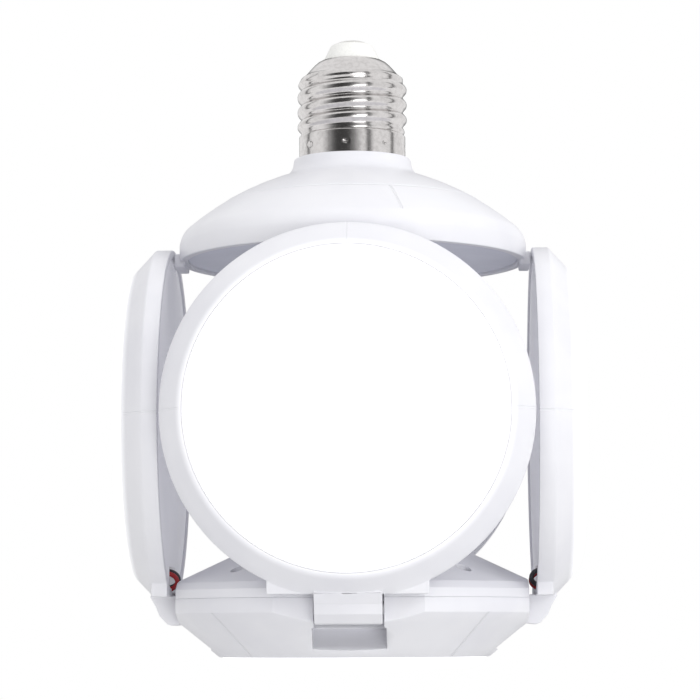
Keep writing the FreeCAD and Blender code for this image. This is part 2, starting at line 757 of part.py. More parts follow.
def base_cover():
    """Bottom disc's back cover: rim, low cone and the socket for the post,
    with flats over the ears and notches that clear the knuckles."""
    piece = Piece("base_cover")
    drop_to(piece.body, d.parting)
    bore = d.base_radius - d.base_cover_inset
    sleeve_foot = d.socket_floor - d.base_floor
    slope = d.base_cone_height / (d.base_shoulder_radius - d.base_land_radius)
    inner_shoulder = d.base_shoulder_height - d.base_cone_wall
    inner_low = inner_shoulder + (d.base_shoulder_radius - bore) * slope
    inner_high = inner_shoulder + (d.base_shoulder_radius - d.socket_outer) * slope
    piece.revolve("cone", [
        (bore, 0), (d.base_radius, 0), (d.base_radius, d.base_rim_height),
        (d.base_shoulder_radius, d.base_shoulder_height),
        (d.base_land_radius, d.base_cone_top), (d.base_land_radius, d.base_top),
        (d.socket_bore, d.base_top), (d.socket_bore, d.socket_floor),
        (d.post_bore, d.socket_floor), (d.post_bore, sleeve_foot),
        (d.socket_outer, sleeve_foot), (d.socket_outer, inner_high), (bore, inner_low)])
    flat = piece.sketch("flat_outline", "XY_Plane", d.base_top)
    box_outline(flat, d.base_flat, -d.base_radius, d.base_radius + SKETCH_REACH, d.base_radius)
    flats = piece.pocket("flat", flat, d.base_top)
    notch = piece.sketch("notch_outline", "XZ_Plane")
    clear = d.knuckle_radius + d.knuckle_clearance
    hole_outline(notch, d.hinge_reach, -d.hinge_below_parting, clear)
    notches = piece.pocket("knuckle_notch", notch, d.slot_width, "both")
    arm = piece.sketch("arm_outline", "XZ_Plane")
    box_outline(arm, d.hinge_reach, -d.base_floor, d.base_flat + d.base_floor,
                clear - d.hinge_below_parting)
    arms = piece.pocket("arm_notch", arm, d.slot_width, "both")
    piece.repeat("hinge_sides", [flats, notches, arms], 4)
    offset = d.cover_screw_circle * diagonal
    hole = piece.sketch("screw_hole_outline", "XY_Plane", d.base_top)
    hole_outline(hole, offset, offset, d.cover_screw_radius + d.fit_gap)
    holes = piece.pocket("screw_hole", hole, d.base_top)
    seat = piece.sketch("counterbore_outline", "XY_Plane", d.base_top)
    hole_outline(seat, offset, offset, d.counterbore_radius)
    seats = piece.pocket("counterbore", seat, d.base_top - d.cover_screw_seat)
    piece.repeat("screw_places", [holes, seats], 4)


def base_screws():
    """Four screws down through the cover into the bezel."""
    places = on_diagonals(d.cover_screw_circle.value)
    seat = FreeCAD.Vector(0, 0, d.cover_screw_seat.value)
    return group("base_screws", [
        screw(d.cover_screw_head_radius.value, d.cover_screw_head_height.value,
              d.cover_screw_radius.value, d.cover_screw_length.value, place + seat, True)
        for place in places], depth=d.parting)


def base_lens():
    """Bottom disc's milky lens: a shallow cup set in the mouth."""
    piece = Piece("base_lens")
    drop_to(piece.body, d.parting)
    edge = d.base_depth + d.base_lens_slope_height
    face = d.base_lens_radius - d.base_lens_slope_width
    wall = d.base_lens_wall
    piece.revolve("cup", [
        (0, -edge - d.base_lens_crown_height, crown_radius(face, d.base_lens_crown_height)),
        (face, -edge),
        (d.base_lens_radius, -d.base_depth),
        (d.base_lens_radius, -d.base_lens_seat),
        (d.base_lens_radius - wall, -d.base_lens_seat),
        (d.base_lens_radius - wall, -d.base_depth + wall / 2),
        (face - wall / 2, -edge + wall), (0, -edge + wall)])


def chips(label, board_radius, base, way=1, azimuth=None, depth=None):
    """Two rings of LED chips on a board, standing out along +Z or -Z."""
    length = d.chip_length.value
    width = d.chip_width.value
    height = d.chip_height.value
    level = base.value if way > 0 else base.value - height
    outer = (board_radius - d.chip_ring_inset).value
    solids = []
    for radius, count in ((outer / 2, INNER_CHIPS), (outer, OUTER_CHIPS)):
        for index in range(count):
            corner = FreeCAD.Vector(radius - length / 2, -width / 2, level)
            chip = Part.makeBox(length, width, height, corner)
            chip.rotate(FreeCAD.Vector(0, 0, 0), UP, 360 * index / count)
            solids.append(chip)
    return group(label, solids, azimuth, depth)


def base_light():
    """Bottom disc's LED board under the bezel's floor, and its chips."""
    piece = Piece("base_led_board")
    drop_to(piece.body, d.parting)
    edge = d.base_board_bore - d.fit_gap
    front = -d.base_board_level - d.led_board_thickness
    piece.revolve("board", [
        (0, front), (edge, front), (edge, -d.base_board_level), (0, -d.base_board_level)])
    chips("base_leds", edge, front, way=-1, depth=d.parting)


def supply_leads():
    """Two leads from the driver down the post to the bottom disc's board."""
    radius = d.supply_lead_radius.value
    bottom = -(d.parting + d.base_board_level).value
    length = -d.board_under.value - bottom
    return group("supply_leads", [
        Part.makeCylinder(radius, length, FreeCAD.Vector(side * 2 * radius, 0, bottom), UP)
        for side in (1, -1)])


def side_bezel(side, azimuth):
    """Side disc's front moulding: band, cone and mouth, the flat hinge edge and
    the tab that curls round the hinge pin."""
    piece = Piece(f"{side}_bezel")
    stand_on_side(piece.body, azimuth)
    piece.revolve("disc", [
        (0, 0), (d.disc_radius, 0), (d.disc_radius, d.disc_band),
        (d.disc_mouth_radius, d.disc_depth), (0, d.disc_depth)])
    pad = piece.sketch("hinge_pad_outline", "XY_Plane")
    half = d.hinge_pad_width / 2
    box_outline(pad, -half, -d.flat_distance, half, half - d.flat_distance)
    piece.pad("hinge_pad", pad, d.disc_band)
    flat = piece.sketch("flat_outline", "XY_Plane", d.disc_depth)
    box_outline(flat, -half, -d.disc_radius - SKETCH_REACH, half, -d.flat_distance)
    piece.pocket("flat", flat, d.disc_depth)

    tab = piece.sketch("tab_outline", "YZ_Plane")
    slope = (d.disc_depth - d.disc_band) / d.disc_mouth_inset
    nose = d.disc_band + d.flat_inset * slope + d.tab_gap
    knuckle_foot = d.hinge_up - d.knuckle_radius
    low = knuckle_foot - d.knuckle_clearance
    quarter = d.disc_band / 4
    inner = d.hinge_below_flat - d.flat_distance
    outline(tab, [
        (d.hinge_up + d.knuckle_radius, -d.hinge_inset, -d.knuckle_radius),
        (d.hinge_up, -d.hinge_inset - d.knuckle_radius, -d.knuckle_radius),
        (knuckle_foot, -d.hinge_inset), (low, 0), (low + d.tab_gap, quarter),
        (d.hinge_up - d.pin_radius, 3 * quarter), (d.hinge_up + d.pin_radius / 2, d.disc_band),
        (-d.flat_distance, nose), (inner, d.disc_band), (inner, 0),
        (d.hinge_up + d.knuckle_radius, 0)])
    piece.pad("hinge_tab", tab, d.tab_width, "both")

    ledge = d.disc_board_front + d.lens_flange_thickness + d.lens_play
    seat = d.disc_board_radius + d.tab_gap
    recess = d.disc_radius - d.disc_lip_width
    piece.groove("inside", [
        (0, 0), (recess, 0), (recess, d.cover_top), (d.cavity_radius, d.cover_top),
        (d.cavity_radius, d.disc_board_back - d.tab_gap), (seat, d.disc_board_front),
        (seat, ledge), (d.lens_radius, ledge), (d.lens_radius, d.disc_depth),
        (0, d.disc_depth)])
    bore = piece.sketch("pin_bore_outline", "YZ_Plane")
    hole_outline(bore, d.hinge_up, -d.hinge_inset, d.pin_radius + d.pin_play)
    piece.pocket("pin_bore", bore, d.tab_width, "both")
    for number, across in ((1, -d.side_lead_spacing / 2), (2, d.side_lead_spacing / 2)):
        channel = piece.sketch(f"lead_channel_{number}_outline", "XZ_Plane", d.side_lead_end)
        hole_outline(channel, across, d.side_lead_depth, d.lead_radius + d.lead_hole_play)
        piece.pocket(f"lead_channel_{number}", channel, d.side_lead_length)


def side_cover(side, azimuth):
    """Side disc's back cover: snapped inside the lip, with a rib behind the board
    and its gate for the leads, a window over the hinge, and a catch recess."""
    piece = Piece(f"{side}_back_cover")
    stand_on_side(piece.body, azimuth)
    edge = d.disc_radius - d.disc_lip_width - d.cover_play
    rib = d.disc_board_radius - d.rib_inset
    piece.revolve("plate", [
        (0, d.cover_recess), (edge, d.cover_recess), (edge, d.cover_top), (rib, d.cover_top),
        (rib, d.disc_board_back), (rib - d.rib_width, d.disc_board_back),
        (rib - d.rib_width, d.cover_top), (0, d.cover_top)])
    gate = piece.sketch("lead_gate_outline", "XY_Plane", d.disc_board_back)
    gate_half = d.side_lead_spacing / 2 + d.lead_radius + d.lead_hole_play
    box_outline(gate, -gate_half, -rib - d.fit_gap, gate_half, -rib + 2 * d.rib_width)
    piece.pocket("lead_gate", gate, d.disc_board_back - d.cover_top)
    window = piece.sketch("window_outline", "XY_Plane", d.disc_board_back)
    low = d.window_inset - d.flat_distance
    box_outline(window, -d.tab_width / 2, low, d.tab_width / 2, low + d.window_height)
    piece.pocket("window", window, d.disc_board_back)
    recess = piece.sketch("catch_recess_outline", "XY_Plane",
                          d.cover_recess + d.catch_recess_depth)
    bead_up = d.disc_drop - d.bead_drop
    half_width = d.catch_width / 2 + d.catch_recess_margin
    half_height = d.catch_recess_height / 2
    box_outline(recess, -half_width, bead_up - half_height, half_width, bead_up + half_height)
    piece.pocket("catch_recess", recess, d.catch_recess_depth)


def side_light(side, azimuth):
    """Side disc's LED board and its chips."""
    piece = Piece(f"{side}_led_board")
    stand_on_side(piece.body, azimuth)
    piece.revolve("board", [
        (0, d.disc_board_back), (d.disc_board_radius, d.disc_board_back),
        (d.disc_board_radius, d.disc_board_front), (0, d.disc_board_front)])
    chips(f"{side}_leds", d.disc_board_radius, d.disc_board_front, azimuth=azimuth)


def side_lens(side, azimuth):
    """Side disc's milky lens: a shallow cup whose flange is held between the
    board and the bezel's ledge."""
    piece = Piece(f"{side}_lens")
    stand_on_side(piece.body, azimuth)
    foot = d.disc_board_front
    flange = foot + d.lens_flange_thickness
    radius = d.lens_radius - d.cover_play
    face = d.lens_radius - d.lens_slope_width
    edge = d.disc_depth + d.lens_slope_height
    wall = d.lens_wall
    piece.revolve("cup", [
        (radius - wall, foot), (d.disc_board_radius, foot),
        (d.disc_board_radius, flange), (radius, flange), (radius, d.disc_depth),
        (face, edge, crown_radius(face, d.lens_crown_height)),
        (0, edge + d.lens_crown_height), (0, edge - wall),
        (face - wall / 2, edge - wall), (radius - wall, d.disc_depth - wall / 2)])


def side_leads(side, azimuth):
    """A side disc's two leads: behind the board, across the window and down
    into the tab."""
    solids = []
    for hand in (-1, 1):
        end = FreeCAD.Vector(hand * d.side_lead_spacing.value / 2,
                             -d.side_lead_end.value, d.side_lead_depth.value)
        solids.append(Part.makeCylinder(d.lead_radius.value, d.side_lead_length.value, end,
                                        FreeCAD.Vector(0, 1, 0)))
    return group(f"{side}_leads", solids, azimuth)


def hinge_pin(side, azimuth):
    """Steel pin through a tab and into the two ears beside it."""
    piece = Piece(f"{side}_hinge_pin")
    stand_on_side(piece.body, azimuth)
    section = piece.sketch("section", "YZ_Plane")
    hole_outline(section, d.hinge_up, -d.hinge_inset, d.pin_radius)
    piece.pad("pin", section, d.pin_length, "both")


def build():
    """Makes every piece of the lamp."""
    for make in (cap_shell, cap_insulator, cap_contact, top_housing, underside_plate,
                 driver, cap_leads, centre_post, post_screws, base_bezel, base_cover,
                 base_screws, base_lens, base_light, supply_leads):
        make()
    for side, azimuth in SIDES.items():
        for make in (side_bezel, side_cover, side_light, side_lens, side_leads, hinge_pin):
            make(side, azimuth)


def check_and_export():
    """Stops on any failed object, then writes one file for each sub-part."""
    doc.recompute()
    failed = [thing.Name for thing in doc.Objects
              if "Invalid" in thing.State or "Error" in thing.State]
    if failed:
        raise SystemExit(f"failed: {failed}")
    kinds = ("PartDesign::Body", "Part::Feature")
    pieces = [thing for thing in doc.Objects if thing.TypeId in kinds]
    os.makedirs("parts", exist_ok=True)
    for piece in pieces:
        shape = piece.Shape
        if shape.isNull() or not shape.isValid() or not shape.Solids:
            raise SystemExit(f"bad shape: {piece.Label}")
        shape.exportStep(f"parts/{piece.Label}.step")
        print(f"{piece.Label:20s} {len(shape.Solids):3d} solids {shape.Volume:10.1f} mm3")


build()
check_and_export()
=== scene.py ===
import math

import bmesh
import bpy
from mathutils import Matrix, Vector


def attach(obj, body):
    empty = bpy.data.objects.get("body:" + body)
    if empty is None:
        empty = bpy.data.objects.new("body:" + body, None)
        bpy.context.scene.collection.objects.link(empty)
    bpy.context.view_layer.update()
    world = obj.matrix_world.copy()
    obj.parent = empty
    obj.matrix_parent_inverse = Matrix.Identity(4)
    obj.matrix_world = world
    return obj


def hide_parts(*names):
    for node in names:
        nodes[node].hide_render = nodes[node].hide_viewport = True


# Folding lamp with a screw cap: a domed housing over four glowing discs that
# stand like the sides of a cube, hinged on a fifth disc below them.
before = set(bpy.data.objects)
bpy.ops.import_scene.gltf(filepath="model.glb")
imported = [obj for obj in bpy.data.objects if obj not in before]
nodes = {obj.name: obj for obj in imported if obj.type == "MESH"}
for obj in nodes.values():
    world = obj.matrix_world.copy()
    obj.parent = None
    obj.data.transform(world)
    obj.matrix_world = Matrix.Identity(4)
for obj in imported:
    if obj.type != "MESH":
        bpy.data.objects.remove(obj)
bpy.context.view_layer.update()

# Screw cap shell: thin nickel-plated brass sheet, rolled into a knuckle thread
# over a plain skirt that is punched with small dimples, its top drawn inwards.
MM = 0.001
MERGE_DISTANCE = 0.002 * MM
SMOOTH_ANGLE = math.radians(38)
ROOT_RADIUS = 12.17 * MM
THREAD_HEIGHT = 0.93 * MM
THREAD_PITCH = 3.63 * MM
THREAD_PHASE = 2.4 * MM
THREAD_TURNS = 6
THREAD_STEPS = 14
THREAD_FADE = 0.45 * THREAD_PITCH
CREST_SHARPNESS = 3.0
SKIRT_TOP = 5.9 * MM
SKIRT_RADIUS = 12.72 * MM
SHELL_TOP = 19.7 * MM
MOUTH_HEIGHT = 24.1 * MM
MOUTH_RADIUS = 6.9 * MM
SHELL_SHEET = 0.42 * MM
DIMPLE_HEIGHT = 2.6 * MM
DIMPLE_REACH = 0.85 * MM
DIMPLE_DEPTH = 0.35 * MM
DIMPLE_COUNT = 8
DIMPLE_SHIFT = 0.12
AROUND = 144


class Signal:
    """A value that changes over a surface. Arithmetic on it adds Math nodes,
    and make() adds any other node."""

    def __init__(self, tree, socket):
        self.tree = tree
        self.socket = socket

    def make(self, kind, settings, values, output=0):
        """Adds a node: its settings first, then its sockets by index or name."""
        node = self.tree.nodes.new(kind)
        for key, value in settings.items():
            setattr(node, key, value)
        for key, value in values.items():
            if isinstance(value, Signal):
                self.tree.links.new(value.socket, node.inputs[key])
            else:
                node.inputs[key].default_value = value
        return Signal(self.tree, node.outputs[output])

    def math(self, operation, *values):
        return self.make("ShaderNodeMath", {"operation": operation},
                         dict(enumerate(values)))

    def __add__(self, other):
        return self.math("ADD", self, other)

    def __radd__(self, other):
        return self.math("ADD", other, self)

    def __sub__(self, other):
        return self.math("SUBTRACT", self, other)

    def __rsub__(self, other):
        return self.math("SUBTRACT", other, self)

    def __mul__(self, other):
        return self.math("MULTIPLY", self, other)

    def __rmul__(self, other):
        return self.math("MULTIPLY", other, self)

    def size(self):
        return self.math("ABSOLUTE", self)

    def root(self):
        return self.math("SQRT", self)

    def step(self, start, end):
        """Rises smoothly from 0 at start to 1 at end."""
        return self.make("ShaderNodeMapRange", {"interpolation_type": "SMOOTHSTEP"},
                         {"Value": self, "From Min": start, "From Max": end})

    def part(self, index):
        return self.make("ShaderNodeSeparateXYZ", {}, {0: self}, output=index)

    def parts(self, count):
        return [self.part(index) for index in range(count)]

    def grain(self, scale, detail=2.0):
        """Soft noise of that many cells to the metre."""
        return self.make("ShaderNodeTexNoise", {},
                         {"Vector": self, "Scale": scale, "Detail": detail})

    def between(self, first, second):
        """A colour between two, self being the share of the second."""
        return self.make("ShaderNodeMix", {"data_type": "RGBA"},
                         {0: self, 6: (*first, 1.0), 7: (*second, 1.0)}, output=2)

    def bumps(self, height):
        return self.make("ShaderNodeBump", {}, {"Height": self, "Distance": height,
                                                "Strength": 1.0})


class Finish:
    """One material: its shader, the place on the object, and its slot's name."""

    def __init__(self, name, slot, **fixed):
        self.material = bpy.data.materials.new(name)
        self.material.use_nodes = True
        self.slot = slot
        self.tree = self.material.node_tree
        self.shader = self.tree.nodes["Principled BSDF"]
        coordinates = self.tree.nodes.new("ShaderNodeTexCoord")
        self.place = Signal(self.tree, coordinates.outputs["Object"])
        self.set(**fixed)

    def set(self, **values):
        """Sets the shader's sockets: base_color stands for Base Color."""
        names = {"ior": "IOR", "specular_ior_level": "Specular IOR Level"}
        for key, value in values.items():
            socket = self.shader.inputs[names.get(key, key.replace("_", " ").title())]
            if isinstance(value, Signal):
                self.tree.links.new(value.socket, socket)
            else:
                socket.default_value = value
        return self


def new_piece(name, mesh_maker, finish, body, *stands_for):
    """Makes an object of a bmesh, smooth where its faces nearly meet flat, and
    puts it on its body."""
    bmesh.ops.remove_doubles(mesh_maker, verts=mesh_maker.verts, dist=MERGE_DISTANCE)
    bmesh.ops.recalc_face_normals(mesh_maker, faces=mesh_maker.faces)
    for face in mesh_maker.faces:
        face.smooth = True
    for edge in mesh_maker.edges:
        edge.smooth = (len(edge.link_faces) == 2
                       and edge.calc_face_angle() < SMOOTH_ANGLE)
    mesh = bpy.data.meshes.new(name)
    mesh_maker.to_mesh(mesh)
    mesh_maker.free()
    piece = bpy.data.objects.new(name, mesh)
    bpy.context.scene.collection.objects.link(piece)
    mesh.materials.append(finish.material)
    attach(piece, body)
    if stands_for:
        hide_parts(*stands_for)
    return piece


def turned(points, around=AROUND):
    """Turns a profile of (radius, height) or (radius, height, rounding) points
    about the lamp's axis. A profile whose ends are off the axis is closed."""
    shape = bmesh.new()
    corners = [shape.verts.new((point[0] * MM, 0, point[1] * MM)) for point in points]
    pairs = list(zip(corners, corners[1:]))
    if points[0][0] > 0:
        pairs.append((corners[-1], corners[0]))
    for first, second in pairs:
        shape.edges.new((first, second))
    for corner, point in zip(corners, points):
        if len(point) > 2:
            bmesh.ops.bevel(shape, geom=[corner], offset=point[2] * MM,
                            offset_type="OFFSET", segments=4, profile=0.5,
                            affect="VERTICES", material=-1)
    bmesh.ops.spin(shape, geom=shape.verts[:] + shape.edges[:], cent=(0, 0, 0),
                   axis=(0, 0, 1), dvec=(0, 0, 0), angle=2 * math.pi, steps=around,
                   use_merge=True)
    bmesh.ops.remove_doubles(shape, verts=shape.verts, dist=MERGE_DISTANCE)
    loose = [edge for edge in shape.edges if not edge.link_faces]
    bmesh.ops.delete(shape, geom=loose, context="EDGES")
    return shape


def radius_of(point):
    return math.hypot(point.x, point.y)


def set_radius(vertex, radius):
    share = radius / radius_of(vertex.co)
    vertex.co.x *= share
    vertex.co.y *= share


thread = bmesh.new()
profile = [thread.verts.new((ROOT_RADIUS, 0, THREAD_PITCH * step / THREAD_STEPS))
           for step in range(THREAD_STEPS + 1)]
profile_edges = [thread.edges.new(pair) for pair in zip(profile, profile[1:])]
for corner in profile:
    share = abs(math.cos(math.pi * corner.co.z / THREAD_PITCH))
    corner.co.x += THREAD_HEIGHT * (1 - share ** CREST_SHARPNESS)
    corner.co.z += THREAD_PHASE - THREAD_PITCH / 2
bmesh.ops.spin(thread, geom=profile + profile_edges, cent=(0, 0, 0), axis=(0, 0, 1),
               dvec=(0, 0, THREAD_PITCH / AROUND), angle=2 * math.pi * THREAD_TURNS,
               steps=AROUND * THREAD_TURNS, use_merge=False)
bmesh.ops.remove_doubles(thread, verts=thread.verts, dist=0.01 * MM)
for cut, side in ((SKIRT_TOP, -1), (SHELL_TOP, 1)):
    everything = thread.verts[:] + thread.edges[:] + thread.faces[:]
    bmesh.ops.bisect_plane(thread, geom=everything, dist=0.0001 * MM,
                           plane_co=(0, 0, cut), plane_no=(0, 0, side), clear_outer=True)
for corner in thread.verts:
    inside = min(corner.co.z - SKIRT_TOP, SHELL_TOP - corner.co.z) / THREAD_FADE
    share = min(max(inside, 0), 1)
    set_radius(corner, ROOT_RADIUS + (radius_of(corner.co) - ROOT_RADIUS) * share)


def grow(shape, level, rings):
    """Carries the open edge at a level on through rings of (radius, height)."""
    rim = [edge for edge in shape.edges if len(edge.link_faces) == 1
           and all(abs(corner.co.z - level) < 0.01 * MM for corner in edge.verts)]
    for radius, height in rings:
        made = bmesh.ops.extrude_edge_only(shape, edges=rim)["geom"]
        rim = [thing for thing in made if isinstance(thing, bmesh.types.BMEdge)]
        for corner in {corner for edge in rim for corner in edge.verts}:
            set_radius(corner, radius)
            corner.co.z = height


skirt_rings = [(ROOT_RADIUS + 0.1 * MM, SKIRT_TOP - 0.1 * MM),
               (SKIRT_RADIUS - 0.12 * MM, SKIRT_TOP - 0.25 * MM),
               (SKIRT_RADIUS, SKIRT_TOP - 0.45 * MM)]
skirt_rings += [(SKIRT_RADIUS, (5.2 - 0.2 * step) * MM) for step in range(25)]
skirt_rings += [(SKIRT_RADIUS, 0.2 * MM), (SKIRT_RADIUS + 0.03 * MM, 0.02 * MM)]
grow(thread, SKIRT_TOP, skirt_rings)
grow(thread, SHELL_TOP, [
    (11.8 * MM, 19.95 * MM), (11.35 * MM, 20.25 * MM), (10.9 * MM, 20.7 * MM),
    (10.4 * MM, 21.3 * MM), (9.8 * MM, 22.0 * MM), (9.1 * MM, 22.75 * MM),
    (8.3 * MM, 23.45 * MM), (7.5 * MM, 23.9 * MM), (MOUTH_RADIUS, MOUTH_HEIGHT)])
for corner in thread.verts:
    angle = math.atan2(corner.co.y, corner.co.x)
    turn = angle * DIMPLE_COUNT / (2 * math.pi) + DIMPLE_SHIFT
    across = (turn - round(turn)) * 2 * math.pi * SKIRT_RADIUS / DIMPLE_COUNT
    distance = math.hypot(across, corner.co.z - DIMPLE_HEIGHT) / DIMPLE_REACH
    if distance < 1 and corner.co.z < SKIRT_TOP:
        dent = DIMPLE_DEPTH * (1 - distance * distance) ** 2
        set_radius(corner, radius_of(corner.co) - dent)

nickel = Finish("bright_nickel", "cap_metal", metallic=1.0)
streaks = nickel.place.make("ShaderNodeMapping", {},
                            {0: nickel.place, "Scale": (1, 1, 9)})
wear = nickel.place.grain(900, 4)
nickel.set(base_color=wear.step(0.35, 0.75).between((0.68, 0.66, 0.655),
                                                    (0.58, 0.56, 0.555)),
           roughness=0.15 + 0.07 * streaks.grain(300) + 0.05 * wear.step(0.55, 0.8),
           normal=streaks.grain(260, 2).bumps(0.02 * MM))
shell = new_piece("cap_shell_rolled", thread, nickel, "lamp", "cap_shell")
sheet = shell.modifiers.new("sheet", "SOLIDIFY")
sheet.thickness = SHELL_SHEET
sheet.offset = -1.0

# Insulator of off-white glass-filled plastic, a blunt cone seated in the
# shell's mouth, and the centre contact: a low tinned button on top of it.
ceramic = Finish("cap_insulator_white", "cap_insulator", roughness=0.38)
ceramic_spots = ceramic.place.grain(2500, 3)
ceramic.set(base_color=ceramic_spots.step(0.4, 0.7).between((0.86, 0.86, 0.84),
                                                            (0.8, 0.8, 0.78)),
            normal=ceramic_spots.bumps(0.02 * MM))
new_piece("cap_insulator_cone", turned([
    (1.55, 22.0), (6.4, 22.0), (6.4, 23.6), (6.8, 24.0), (6.7, 24.4, 0.3),
    (4.95, 28.0, 0.6), (1.55, 28.15)]), ceramic, "lamp", "cap_insulator")


def grained(name, slot, noise, light, shade, bump, rough, more_rough=0, **fixed):
    """A finish with one grain: noise is its (scale, detail) and bump its depth
    in millimetres. It can also make the surface rougher by more_rough."""
    finish = Finish(name, slot, **fixed)
    grain = finish.place.grain(*noise)
    return finish.set(base_color=grain.between(light, shade),
                      roughness=rough + more_rough * grain if more_rough else rough,
                      normal=grain.bumps(bump * MM))


tin = grained("tinned_contact", "contact_metal", (1800, 4), (0.9, 0.89, 0.87),
              (0.78, 0.77, 0.75), 0.05, 0.25, 0.2, metallic=1.0)
new_piece("cap_contact_button", turned([
    (0, 22.0), (1.5, 22.0), (1.5, 28.2), (3.6, 28.2, 0.1), (3.5, 28.45, 0.15),
    (2.6, 28.75, 0.4), (0, 28.85)]), tin, "lamp", "cap_contact")

# White mouldings: the housing, bezels and covers are cool white plastic, satin
# with a faint mould texture and fine witness lines, their edges a little round.
HINGE_SIDES = {"right": (1, 0), "back": (0, 1), "left": (-1, 0), "front": (0, -1)}
DISC_BACK = 42.5 * MM
DISC_CENTRE = -63.5 * MM
WHITE = (0.80, 0.80, 0.835)
WHITE_SHADE = (0.74, 0.74, 0.785)
BEVEL_ANGLE = math.radians(32)


def moulded(name, light, shade, texture=0.012):
    """White moulded plastic before its own lines: returns finish and height."""
    finish = Finish(name, "housing_white", specular_ior_level=0.45)
    clouds = finish.place.grain(45, 3)
    fine = finish.place.grain(6500, 2)
    finish.set(base_color=clouds.step(0.3, 0.75).between(light, shade),
               roughness=0.34 + 0.12 * clouds + 0.06 * fine)
    return finish, fine * texture * MM


def reach_of(first, second):
    """How far out a point is, from two signals at right angles."""
    return (first * first + second * second).root()


def line(place, width):
    """A groove one deep where a signal of metres passes through zero."""
    return 1 - place.size().step(0.4 * width * MM, width * MM)


def dress(node, finish):
    """Gives a CAD node its finish."""
    thing = nodes[node]
    if not thing.material_slots:
        thing.data.materials.append(finish.material)
    for place in thing.material_slots:
        place.material = finish.material


def soften(node, width):
    """Rounds the moulded edges of a CAD node a little."""
    thing = nodes[node]
    weld = thing.modifiers.new("weld", "WELD")
    weld.merge_threshold = 0.001 * MM
    edge = thing.modifiers.new("edges", "BEVEL")
    edge.width = width * MM
    edge.segments = 2
    edge.limit_method = "ANGLE"
    edge.angle_limit = BEVEL_ANGLE
    edge.use_clamp_overlap = False
    edge.harden_normals = True


# Top housing: one domed moulding whose neck goes up inside the cap, with a fine
# witness ring and short radial witness lines from its mould.
RING_RADIUS = 30.3 * MM
RING_WIDTH = 0.45
RING_DEPTH = 0.12 * MM
SPOKE_END = 39.6 * MM
SPOKE_WIDTH = 0.3
SPOKE_DEPTH = 0.14 * MM
SPOKE_WAY = (0.95, 0.31)
LINE_END = 0.2 * MM
dome, dome_height = moulded("housing_moulding", WHITE, WHITE_SHADE)
dome_x, dome_y = dome.place.parts(2)
dome_reach = reach_of(dome_x, dome_y)
ring_line = line(dome_reach - RING_RADIUS, RING_WIDTH)
band = (dome_reach.step(RING_RADIUS, RING_RADIUS + LINE_END)
        * (1 - dome_reach.step(SPOKE_END, SPOKE_END + LINE_END)))
spokes = (line(dome_x * SPOKE_WAY[0] + dome_y * SPOKE_WAY[1], SPOKE_WIDTH)
          + line(dome_x * SPOKE_WAY[1] - dome_y * SPOKE_WAY[0], SPOKE_WIDTH))
dome_lines = RING_DEPTH * ring_line + SPOKE_DEPTH * (spokes * band)
dome.set(normal=(dome_height - dome_lines).bumps(1.0))
housing_profile = [
    (39.3, -24.85, 0.25), (41.3, -24.85, 0.3), (41.3, -20.9, 0.35), (41.0, -19.6, 0.6),
    (40.45, -18.35, 0.8), (39.6, -17.35, 0.7), (36.6, -14.95), (33.2, -12.5),
    (30.5, -10.75, 0.12), (30.25, -10.5, 0.12), (26.5, -8.45), (22.5, -6.55),
    (18.6, -5.0), (16.2, -4.25, 0.9), (14.85, -3.2, 0.8), (14.2, -1.8, 0.6),
    (13.95, -0.02, 0.3), (11.6, 0.0, 0.1), (11.6, 7.0, 0.3), (9.8, 7.0, 0.2),
    (9.8, -4.9, 0.5), (12.8, -5.9, 0.6), (20.5, -7.9), (28.0, -11.8), (34.5, -16.4),
    (37.9, -20.6, 0.2), (37.9, -22.6, 0.1), (39.3, -22.6, 0.1)]
new_piece("top_housing_dome", turned(housing_profile, 192), dome, "lamp", "top_housing")

# Catch bosses under the rim, moulded with the housing: a small block over each
# side disc with a rounded bead that clicks into the recess of its back cover.
BOSS_SIZE = (2.5 * MM, 12 * MM, 3.25 * MM)
BOSS_PLACE = (40.9 * MM, 0, -24.65 * MM)
BOSS_EDGE = 0.35 * MM
BEAD_RADIUS = 0.6 * MM
BEAD_STRETCH = 8.3
BEAD_PLACE = (42.1 * MM, 0, -25.6 * MM)
catches = bmesh.new()
for way_x, way_y in HINGE_SIDES.values():
    block = bmesh.ops.create_cube(catches, size=1.0)["verts"]
    bmesh.ops.scale(catches, vec=BOSS_SIZE, verts=block)
    bmesh.ops.translate(catches, vec=BOSS_PLACE, verts=block)
    edges = list({edge for corner in block for edge in corner.link_edges})
    bmesh.ops.bevel(catches, geom=edges, offset=BOSS_EDGE, segments=3, profile=0.5,
                    affect="EDGES", material=-1)
    block = [corner for corner in catches.verts if not corner.tag]
    bead = bmesh.ops.create_uvsphere(catches, u_segments=16, v_segments=12,
                                     radius=BEAD_RADIUS)["verts"]
    bmesh.ops.scale(catches, vec=(1, BEAD_STRETCH, 1), verts=bead)
    bmesh.ops.translate(catches, vec=BEAD_PLACE, verts=bead)
    turn = Matrix.Rotation(math.atan2(way_y, way_x), 3, "Z")
    bmesh.ops.rotate(catches, cent=(0, 0, 0), matrix=turn, verts=block + bead)
    for corner in catches.verts:
        corner.tag = True
boss, boss_height = moulded("catch_moulding", WHITE, WHITE_SHADE)
boss.set(normal=boss_height.bumps(1.0))
new_piece("catch_bosses", catches, boss, "lamp")

# Underside plate: flat dark grey-blue moulding that closes the housing, seen in
# the shade behind its light rim.
PLATE_PAINTED_GLOW = 0.09
plate, plate_height = moulded("plate_moulding", (0.56, 0.57, 0.65),
                              (0.50, 0.51, 0.59), 0.02)
plate.slot = "plate_grey"
# The plate's faint glow is painted light, standing in for light from the lenses that
# falls on it.
plate.set(normal=plate_height.bumps(1.0), emission_color=(0.9, 0.92, 1, 1),
          emission_strength=PLATE_PAINTED_GLOW)
dress("underside_plate", plate)

